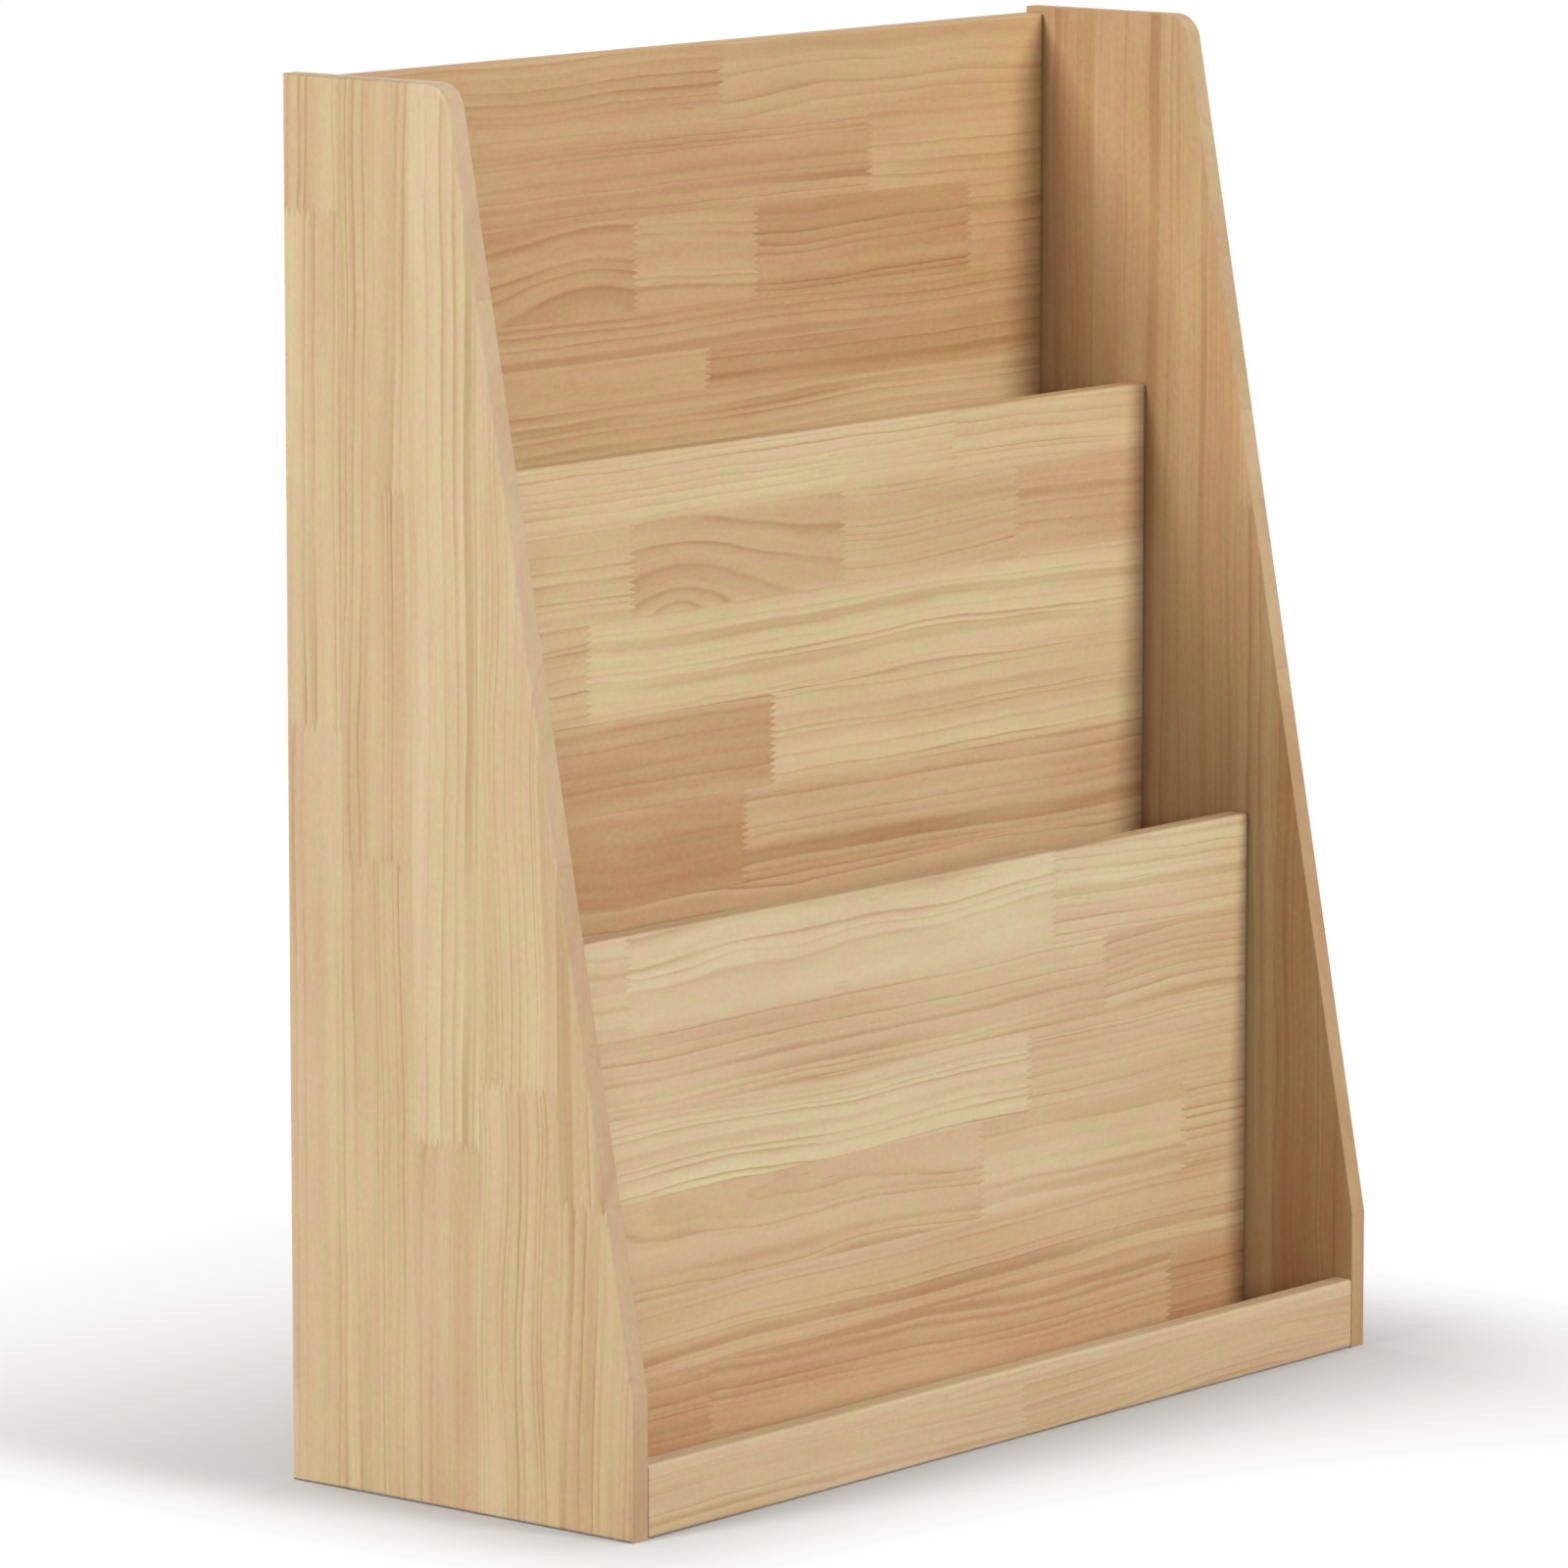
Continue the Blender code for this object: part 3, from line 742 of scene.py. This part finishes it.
def pine_grain_group():
    """Year rings round a pith beside the block, with late wood lines, streaks, fibres and flecks."""
    group, w, given, out = new_group(
        "pine_grain",
        {"Vector": ("Grain",), "Float": ("From middle", "From joint", "Figure", "Seed", "Ring width")},
        ("Line", "Streak", "Thread", "Cloud", "Mottle", "Tick", "Fibre", "Fleck", "Hue", "Tone shift"),
    )
    along, _, through = w.split(given["Grain"])
    seed = given["Seed"]
    figure = given["Figure"]
    across = given["From middle"]
    own, first = w.chance(seed)
    turn, shift, span = w.split(first)
    _, second = w.chance(w.plus(seed, OWN_SEED_STEP))
    lean, drift, start = w.split(second)
    side = w.math("SIGN", w.less(turn, 0.5))
    climb = w.math("SIGN", w.less(lean, 0.5))
    knotty = w.rise(figure, FIGURES["arched"], FIGURES["knotty"])

    place = w.less(along, w.times(start, PITH_START))
    from_knot = w.over(w.less(given["From joint"], KNOT_FROM_JOINT), KNOT_REACH)
    place = w.between(knotty, place, w.times(w.math("TANH", from_knot), KNOT_REACH))
    nearness = w.math("POWER", figure, PITH_PULL)
    pith_across = w.times(side, w.between(nearness, *PITH_BESIDE))
    pith_across = w.swayed(shift, pith_across, PITH_SPREAD)
    pith_across = w.between(knotty, pith_across, -KNOT_FROM_MIDDLE)
    pith_depth = w.times(climb, w.raised(span, *PITH_DEPTH))
    slope = w.times(climb, w.between(figure, *PITH_CLIMB))
    slope = w.times(slope, w.raised(own, *CLIMB_SPREAD))
    slope = w.between(knotty, slope, KNOT_ROUNDNESS)
    stray = w.times(w.less(drift, 0.5), w.between(figure, *PITH_STRAY))
    bend = w.noise(w.plus(w.times(along, PITH_BENDS), seed), 1.0, 1.0)
    bend = w.times(w.less(bend, 0.5), w.between(w.less(figure, knotty), *PITH_BEND))
    off_across = w.less(w.less(across, pith_across), bend)
    off_across = w.less(off_across, w.times(place, stray))
    pith_depth = w.between(knotty, w.plus(through, pith_depth), 0.0)
    off_depth = w.less(pith_depth, w.times(place, slope))
    radius = w.math("SQRT", w.plus(w.times(off_across, off_across), w.times(off_depth, off_depth)))
    further = w.plus(along, w.times(seed, SEED_STRIDE))
    spot = w.vector(further, across, through)
    radius = w.swayed(w.cells(spot, RIPPLE_CELLS), radius, w.between(figure, *RING_RIPPLE))
    radius = w.swayed(w.cells(spot, SHIVER_CELLS, 1.0), radius, RING_SHIVER)

    width = w.times(given["Ring width"], w.raised(span, *WIDTH_SPREAD))
    count = w.over(radius, w.between(knotty, width, KNOT_RING_WIDTH))
    uneven = w.noise(w.plus(w.times(count, RING_CHANGE), seed), 1.0, 1.0)
    count = w.swayed(uneven, count, RING_UNEVENNESS)
    within = w.math("FRACT", count)
    parts = [w.times(w.math("POWER", within, power), depth) for power, depth in LATE_PARTS]
    line = w.times(w.plus(*parts), w.less(1.0, w.rise(within, *LINE_BREAK)))
    strength, _ = w.chance(w.plus(w.math("FLOOR", count), seed))
    strength = w.between(knotty, strength, KNOT_STRENGTH)
    line = w.times(line, w.raised(strength, *LINE_STRENGTH))
    left = w.rise(w.cells(spot, FADE_CELLS, 1.0), *LINE_FADE)
    line = w.times(line, w.raised(left, *LINE_LEFT))

    flow = w.vector(further, radius, seed)
    tick = w.rise(w.cells(spot, TICK_CELLS, 1.0), *TICK_RISE)
    tick_area = w.rise(w.cells(spot, TICK_AREA_CELLS, 1.0), *TICK_AREA_RISE)
    broad_hue = w.cells(spot, BROAD_HUE_CELLS, 3.0, 0.6)
    fine_hue = w.cells(spot, FINE_HUE_CELLS, 0.0)
    w.fill(out, {
        "Line": w.times(line, w.between(knotty, *LINE_DEPTHS)),
        "Streak": w.cells(flow, STREAK_CELLS, 3.0, 0.6),
        "Thread": w.cells(flow, THREAD_CELLS, 2.0, 0.6),
        "Cloud": w.cells(spot, CLOUD_CELLS),
        "Mottle": w.cells(spot, MOTTLE_CELLS, 3.0, 0.65),
        "Tick": w.times(tick, tick_area),
        "Fibre": w.cells(spot, FIBRE_CELLS, 2.0, 0.7),
        "Fleck": w.rise(w.cells(spot, FLECK_CELLS, 1.0), *FLECK_RISE),
        "Hue": w.between(FINE_HUE_SHARE, broad_hue, fine_hue),
        "Tone shift": w.less(own, 0.5),
    })
    return group


def new_material(name):
    """An empty node material with its wiring and the inputs of its Principled shader."""
    material = bpy.data.materials.new(name)
    material.use_nodes = True
    material.node_tree.nodes.clear()
    w = Wiring(material.node_tree)
    shader = w.add("ShaderNodeBsdfPrincipled")
    w.add("ShaderNodeOutputMaterial", {0: shader.outputs[0]})
    return material, w, shader.inputs


WHITE = (1.0, 1.0, 1.0)

# Each pine: the tint of its faces, the setting that tints its narrow edges and the setting for the
# depth of its ring lines, where it has them. The edge tint is partly a greyer colour of the cut
# edges and partly painted shade that darkens the boards' tops
PINES = {
    "side_pine": (shade(255, 254, 251), "edge", None),
    "right_pine": (shade(247, 248, 241), None, "right_lines"),
    "back_pine": (shade(248, 239, 224), "back_edge_and_shade", None),
    "middle_pine": (shade(254, 252, 247), "divider_edge_and_shade", None),
    "front_pine": (WHITE, "divider_edge_and_shade", None),
    "lip_pine": (WHITE, None, None),
    "hidden_pine": (WHITE, "edge", None),
}

# Share of the tone scale, at each end, that lies past the palest or darkest named tone
TONE_MARGIN = 0.1875

# How far chance moves a block's tone, and each kind of unevenness the tone within it
BLOCK_SPREAD = 0.12
TONE_REACHES = {"Streak": 0.7, "Thread": 0.3, "Cloud": 0.75, "Mottle": 0.55}

# Where the rosy patches end and the sallow ones start
HUE_CHANGE = (0.36, 0.64)

# What is lost: ring lines on narrow edges, and light in flecks, ticks, glue lines and cut ends; and
# painted shade on the arris between a face and a narrow edge, which damps the highlight on its round
EDGE_LINE_LOSS = 0.7
FLECK_LOSS = 0.07
TICK_LOSS = 0.20
GLUE_LOSS = 0.07
END_LOSS = 0.18
ARRIS_PAINTED_SHADE = 0.64

# What fibres, ring lines and glue lines do to brightness, roughness and height, the strength and
# depth of the bumps, and the gloss of the finish
FIBRE_LIGHT = 0.07
FIBRE_ROUGHNESS = 0.12
LINE_ROUGHNESS = -0.06
FIBRE_HEIGHT = 0.6
LINE_HEIGHT = 0.1
GLUE_HEIGHT = -0.4
PINE_BUMPS = (0.25, 0.0002)
PINE_GLOSS = 0.35


def pine_material(name):
    """Clear-finished pine that follows a board's staves."""
    made = bpy.data.materials.get(name)
    if made:
        return made
    pine = settings().pine
    tint, edge_setting, lines_setting = PINES[name]
    edge_tint_and_shade = getattr(pine, edge_setting) if edge_setting else WHITE
    line_depth = getattr(pine, lines_setting) if lines_setting else 1.0
    material, w, shader = new_material(name)
    read = {
        label: w.add("ShaderNodeAttribute", attribute_name=label).outputs
        for label in ("grain", *FACE_LAYERS)
    }
    blocks = w.group("finger_joints", finger_joint_group, {
        **{label: read[label.lower()]["Vector"] for label in ("Grain", "Stave", "Joints", "Beside")},
        "Tones": read["tones"]["Color"],
        "Last tone": read["tones"]["Alpha"],
        "Figures": read["figures"]["Color"],
        "Last figure": read["figures"]["Alpha"],
        "Blend": pine.blend,
        "Tooth pitch": pine.tooth_pitch,
        "Tooth length": pine.tooth_length,
    })
    rings = w.group("pine_grain", pine_grain_group, {
        "Grain": read["grain"]["Vector"],
        "Ring width": pine.ring_width,
        **{label: blocks[label] for label in ("From middle", "From joint", "Figure", "Seed")},
    })
    end_cut, edge, _ = w.split(read["cut"]["Vector"])
    line = w.times(rings["Line"], w.raised(edge, line_depth, -EDGE_LINE_LOSS * line_depth))

    tone = w.raised(rings["Tone shift"], blocks["Tone"], BLOCK_SPREAD)
    for label, reach in TONE_REACHES.items():
        tone = w.swayed(rings[label], tone, reach)
    over = TONE_MARGIN / (0.5 - TONE_MARGIN)
    palest, darkest = (
        tuple((1 + over) * end - over * middling for end, middling in zip(colour, pine.middling))
        for colour in (pine.pale, pine.dark)
    )
    stops = (
        (0.0, palest),
        (TONE_MARGIN, pine.pale),
        (0.5, pine.middling),
        (1.0 - TONE_MARGIN, pine.dark),
        (1.0, darkest),
    )
    colour = w.ramp(w.raised(tone, TONE_MARGIN, 1.0 - 2.0 * TONE_MARGIN), stops)
    patches = w.colour(w.rise(rings["Hue"], *HUE_CHANGE), pine.rosy, pine.sallow)
    colour = w.tinted(w.tinted(colour, tint), patches)
    colour = w.colour(line, colour, w.tinted(colour, pine.line))
    # Tops and narrow edges take the edge tint: partly a greyer colour of cut edges, partly painted shade
    colour = w.colour(edge, colour, w.tinted(colour, edge_tint_and_shade))
    light = w.swayed(rings["Fibre"], 1.0, FIBRE_LIGHT)
    light = w.dimmed(rings["Fleck"], light, FLECK_LOSS)
    light = w.dimmed(rings["Tick"], light, TICK_LOSS)
    light = w.dimmed(blocks["Glue line"], light, GLUE_LOSS)
    light = w.dimmed(end_cut, light, END_LOSS)
    # Painted shade on the arris, deepest halfway round its rounding, to damp the lamps' highlight there
    light = w.dimmed(w.times(edge, w.less(1.0, edge)), light, ARRIS_PAINTED_SHADE)

    rough = w.raised(line, pine.roughness, LINE_ROUGHNESS)
    height = w.raised(line, w.times(rings["Fibre"], FIBRE_HEIGHT), LINE_HEIGHT)
    height = w.raised(blocks["Glue line"], height, GLUE_HEIGHT)
    w.fill(shader, {
        "Base Color": w.lit(colour, light),
        "Roughness": w.swayed(rings["Fibre"], rough, FIBRE_ROUGHNESS),
        "Specular IOR Level": PINE_GLOSS,
        "Normal": w.bump(height, *PINE_BUMPS),
    })
    return material


# Roughness, grain size and unevenness of the metals, the share of cells in their broad grain, and
# the strength and depth of their bumps
ZINC_SKIN = (0.42, 0.0008, 0.25)
STEEL_SKIN = (0.28, 0.0004, 0.12)
BROAD_GRAIN = 0.15
METAL_BUMPS = (0.3, 0.0001)


def metal_mottle_group():
    """Uneven brightness, roughness and height of a cast or plated metal skin."""
    group, w, given, out = new_group(
        "metal_mottle",
        {"Vector": ("Place",), "Float": ("Grain size", "Depth")},
        ("Colour factor", "Roughness shift", "Height"),
    )
    cells = w.over(1.0, given["Grain size"])
    fine = w.noise(given["Place"], cells, 3.0, 0.6)
    broad = w.noise(given["Place"], w.times(cells, BROAD_GRAIN))
    w.fill(out, {
        "Colour factor": w.plus(w.times(w.less(broad, 0.5), given["Depth"]), 1.0),
        "Roughness shift": w.times(w.less(fine, 0.5), given["Depth"]),
        "Height": fine,
    })
    return group


def metal_material(name, tint, roughness, grain_size, depth):
    """Metal with an uneven skin."""
    material, w, shader = new_material(name)
    place = w.add("ShaderNodeTexCoord").outputs["Object"]
    values = {"Place": place, "Grain size": grain_size, "Depth": depth}
    skin = w.group("metal_mottle", metal_mottle_group, values)
    w.fill(shader, {
        "Base Color": w.lit(tint, skin["Colour factor"]),
        "Roughness": w.plus(skin["Roughness shift"], roughness),
        "Metallic": 1.0,
        "Normal": w.bump(skin["Height"], *METAL_BUMPS),
    })
    return material


# Cells in a metre for the dowels' pores and figure, where noise turns into pores, brightness of
# pale wood and of pores, roughness of wood and what pores add, and strength and depth of the bumps
PORE_CELLS = (300, 2600, 2600)
DOWEL_CELLS = (40, 500, 500)
PORE_RISE = (0.55, 0.75)
PALE_BEECH = 1.08
PORE_LIGHT = 0.72
BEECH_ROUGHNESS = (0.55, 0.15)
BEECH_BUMPS = (0.3, 0.0002)


def beech_material():
    """Turned beech with short pores along the dowel."""
    beech = settings().metal.beech
    material, w, shader = new_material("beech_dowel")
    place = w.add("ShaderNodeTexCoord").outputs["Object"]
    pores = w.rise(w.cells(place, PORE_CELLS), *PORE_RISE)
    pale = tuple(min(1.0, value * PALE_BEECH) for value in beech)
    dark = tuple(value * PORE_LIGHT for value in beech)
    w.fill(shader, {
        "Base Color": w.colour(pores, w.colour(w.cells(place, DOWEL_CELLS, 3.0), pale, beech), dark),
        "Roughness": w.raised(pores, *BEECH_ROUGHNESS),
        "Normal": w.bump(w.less(1.0, pores), *BEECH_BUMPS),
    })
    return material


class BOOKCASE_OT_sides(bpy.types.Operator):
    """Make the two slant-fronted sides"""

    bl_idname = "bookcase.sides"
    bl_label = "Sides"

    def execute(self, context):
        for node, pine in (("left_side", "side_pine"), ("right_side", "right_pine")):
            make_board(node, side_board, SIDE_GRAIN, pine)
        return {"FINISHED"}


class BOOKCASE_OT_back_panel(bpy.types.Operator):
    """Make the back panel"""

    bl_idname = "bookcase.back_panel"
    bl_label = "Back panel"

    def execute(self, context):
        make_board("back_panel", straight_board, UPRIGHT_GRAIN, "back_pine")
        return {"FINISHED"}


class BOOKCASE_OT_dividers(bpy.types.Operator):
    """Make the two dividers that the books lean on"""

    bl_idname = "bookcase.dividers"
    bl_label = "Dividers"

    def execute(self, context):
        for node, pine in (("middle_divider", "middle_pine"), ("front_divider", "front_pine")):
            make_board(node, straight_board, UPRIGHT_GRAIN, pine)
        return {"FINISHED"}


class BOOKCASE_OT_front_lip(bpy.types.Operator):
    """Make the low rail at the floor"""

    bl_idname = "bookcase.front_lip"
    bl_label = "Front lip"

    def execute(self, context):
        make_board("front_lip", lip_board, UPRIGHT_GRAIN, "lip_pine")
        return {"FINISHED"}


class BOOKCASE_OT_pocket_floors(bpy.types.Operator):
    """Make the boards that the books stand on"""

    bl_idname = "bookcase.pocket_floors"
    bl_label = "Pocket floors"

    def execute(self, context):
        for node in ("upper_shelf", "middle_shelf", "bottom_board"):
            make_board(node, straight_board, LEVEL_GRAIN, "hidden_pine")
        return {"FINISHED"}


class BOOKCASE_OT_fittings(bpy.types.Operator):
    """Give the cam locks, bolts and dowels their finish"""

    bl_idname = "bookcase.fittings"
    bl_label = "Joint fittings"

    def execute(self, context):
        metal = settings().metal
        finishes = {
            "_cam_": metal_material("zinc_cam", metal.zinc, *ZINC_SKIN),
            "_bolt_": metal_material("steel_bolt", metal.steel, *STEEL_SKIN),
            "_dowel_": beech_material(),
        }
        for name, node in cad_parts.items():
            for part, material in finishes.items():
                if part in name:
                    node.data.materials.clear()
                    node.data.materials.append(material)
        return {"FINISHED"}


FLOOR_SIZE = 14.0
SENSOR = 36.0

# The point that the lamps aim at, and each lamp's turn round the bookcase and height above the
# horizon in degrees, its distance and its width
LAMP_TARGET = Vector((0.0, 0.0, 0.35))
LAMPS = {
    "left_lamp": (-101, 29, 12.0, 3.6),
    "front_lamp": (11, 20, 12.0, 3.4),
    "fill_lamp": (-50, 9, 12.0, 3.4),
    "top_lamp": (60, 60, 6.0, 2.4),
    "right_lamp": (95, 14, 4.0, 2.0),
    "back_lamp": (175, 12, 4.0, 2.0),
}

# How far behind the bookcase the floor starts to turn white, and where it has; how much sooner it
# does on the left, on the right and in front of the left and right ends; the contact shade's reach
# and rays; and the cells in a metre and the brightness of the floor's faint patches
FLOOR_FADE = (0.0, 0.55)
LEFT_FADE = 4.7
RIGHT_FADE = 3.0
FORWARD_FADES = (5.0, 1.5)
CONTACT_REACH = 0.5
CONTACT_RAYS = 8
PATCH_CELLS = 3.0
PATCH_LIGHT = 0.99


def direction(azimuth, elevation):
    """From the bookcase towards an angle round it, 0 in front and 90 degrees at the right."""
    flat = math.cos(elevation)
    return Vector((math.sin(azimuth) * flat, -math.cos(azimuth) * flat, math.sin(elevation)))


def aim(item, target, towards, distance):
    """Puts a lamp or camera at a distance from a point, and turns it to face that point."""
    item.location = target + towards * distance
    item.rotation_euler = (-towards).to_track_quat("-Z", "Y").to_euler()


def soft_lamp(name, level):
    """A round lamp that points at the bookcase, at a level of light there."""
    azimuth, elevation, distance, width = LAMPS[name]
    towards = direction(math.radians(azimuth), math.radians(elevation))
    light = bpy.data.lights.new(name, "AREA")
    light.shape = "DISK"
    light.size = width
    light.energy = level * (math.pi * distance) ** 2
    aim(placed(name, light), LAMP_TARGET, towards, distance)


def seen_directly(w):
    """1 for light that reaches the camera straight or by a mirror or glass, else 0."""
    path = w.add("ShaderNodeLightPath")
    seen = w.math("MAXIMUM", path.outputs["Is Camera Ray"], path.outputs["Is Glossy Ray"])
    return w.math("MAXIMUM", seen, path.outputs["Is Transmission Ray"])


def floor_material(stage):
    """Pale matt floor that takes a soft shadow, and turns into the white surroundings further off."""
    material, w, shader = new_material("studio_floor")
    place = w.add("ShaderNodeTexCoord").outputs["Object"]
    pale = stage.floor
    patches = w.colour(w.noise(place, PATCH_CELLS, 3.0), pale, tuple(value * PATCH_LIGHT for value in pale))
    seen = seen_directly(w)
    openness = w.add("ShaderNodeAmbientOcclusion", {"Distance": CONTACT_REACH}, samples=CONTACT_RAYS)
    light = w.between(openness.outputs["AO"], 1.0 - stage.floor_contact, 1.0)
    w.fill(shader, {
        "Base Color": w.colour(seen, stage.floor_bounce, w.lit(patches, light)),
        "Roughness": 0.9,
        "Specular IOR Level": 0.0,
        "Emission Color": WHITE,
        "Emission Strength": w.times(seen, stage.floor_glow),
    })
    x, y, _ = w.split(place)
    low, high = cad_box
    sideways = w.raised(w.past(low[0], x), w.times(w.past(x, high[0]), RIGHT_FADE), LEFT_FADE)
    forward_fade = w.between(w.rise(x, low[0], high[0]), *FORWARD_FADES)
    lengthways = w.raised(w.past(low[1], y), w.past(y, high[1]), forward_fade)
    away = w.add("ShaderNodeVectorMath", {0: w.vector(sideways, lengthways, 0.0)}, operation="LENGTH")
    whiteness = w.times(seen, w.rise(away.outputs["Value"], *FLOOR_FADE))
    surface = w.tree.nodes["Material Output"].inputs[0]
    white = w.add("ShaderNodeEmission").outputs[0]
    both = w.add("ShaderNodeMixShader", {0: whiteness, 1: surface.links[0].from_socket, 2: white})
    w.feed(surface, both.outputs[0])
    return material


def white_world(stage):
    """Even light from all round, white where it is seen directly."""
    world = bpy.data.worlds.new("studio_world")
    world.use_nodes = True
    world.node_tree.nodes.clear()
    w = Wiring(world.node_tree)
    light = w.between(seen_directly(w), stage.sky, 1.0)
    sky = w.add("ShaderNodeBackground", {"Color": WHITE, "Strength": light})
    w.add("ShaderNodeOutputWorld", {0: sky.outputs[0]})
    return world


class BOOKCASE_OT_stage(bpy.types.Operator):
    """Make the floor, the lamps, the surroundings and the camera"""

    bl_idname = "bookcase.stage"
    bl_label = "Studio"

    def execute(self, context):
        scene = context.scene
        stage = settings().stage
        shape = bmesh.new()
        bmesh.ops.create_grid(shape, x_segments=1, y_segments=1, size=FLOOR_SIZE / 2)
        floor = shaped("studio_floor", shape)
        floor.data.materials.append(floor_material(stage))
        scene.world = white_world(stage)
        for name in LAMPS:
            soft_lamp(name, getattr(stage, name))
        camera = placed("camera", bpy.data.cameras.new("camera"))
        camera.data.sensor_width = SENSOR
        camera.data.lens = stage.lens
        aim(camera, Vector(stage.target), direction(stage.azimuth, stage.elevation), stage.distance)
        scene.camera = camera
        scene.view_settings.view_transform = "Standard"
        return {"FINISHED"}


class BOOKCASE_PT_panel(bpy.types.Panel):
    """Lists the bookcase's pieces and settings"""

    bl_idname = "BOOKCASE_PT_panel"
    bl_label = "Kids bookcase"
    bl_space_type = "VIEW_3D"
    bl_region_type = "UI"
    bl_category = "Bookcase"

    def draw(self, context):
        column = self.layout.column()
        for operator in OPERATORS:
            column.operator(operator.bl_idname)
        for group in (settings().boards, settings().pine, settings().metal, settings().stage):
            box = self.layout.box()
            for name in group.__annotations__:
                box.prop(group, name)


OPERATORS = (
    BOOKCASE_OT_sides,
    BOOKCASE_OT_back_panel,
    BOOKCASE_OT_dividers,
    BOOKCASE_OT_front_lip,
    BOOKCASE_OT_pocket_floors,
    BOOKCASE_OT_fittings,
    BOOKCASE_OT_stage,
)
GROUPS = (BookcaseBoards, BookcasePine, BookcaseMetal, BookcaseStage, BookcaseSettings)


def register():
    """Makes the settings, the operators and the panel known to Blender."""
    for item in (*GROUPS, *OPERATORS, BOOKCASE_PT_panel):
        bpy.utils.register_class(item)
    bpy.types.Scene.bookcase = bpy.props.PointerProperty(type=BookcaseSettings)


def unregister():
    """Takes them away again."""
    del bpy.types.Scene.bookcase
    for item in reversed((*GROUPS, *OPERATORS, BOOKCASE_PT_panel)):
        bpy.utils.unregister_class(item)


def main():
    """Makes every piece and the stage."""
    register()
    bpy.ops.bookcase.sides()
    bpy.ops.bookcase.back_panel()
    bpy.ops.bookcase.dividers()
    bpy.ops.bookcase.front_lip()
    bpy.ops.bookcase.pocket_floors()
    bpy.ops.bookcase.fittings()
    bpy.ops.bookcase.stage()


if __name__ == "__main__":
    main()
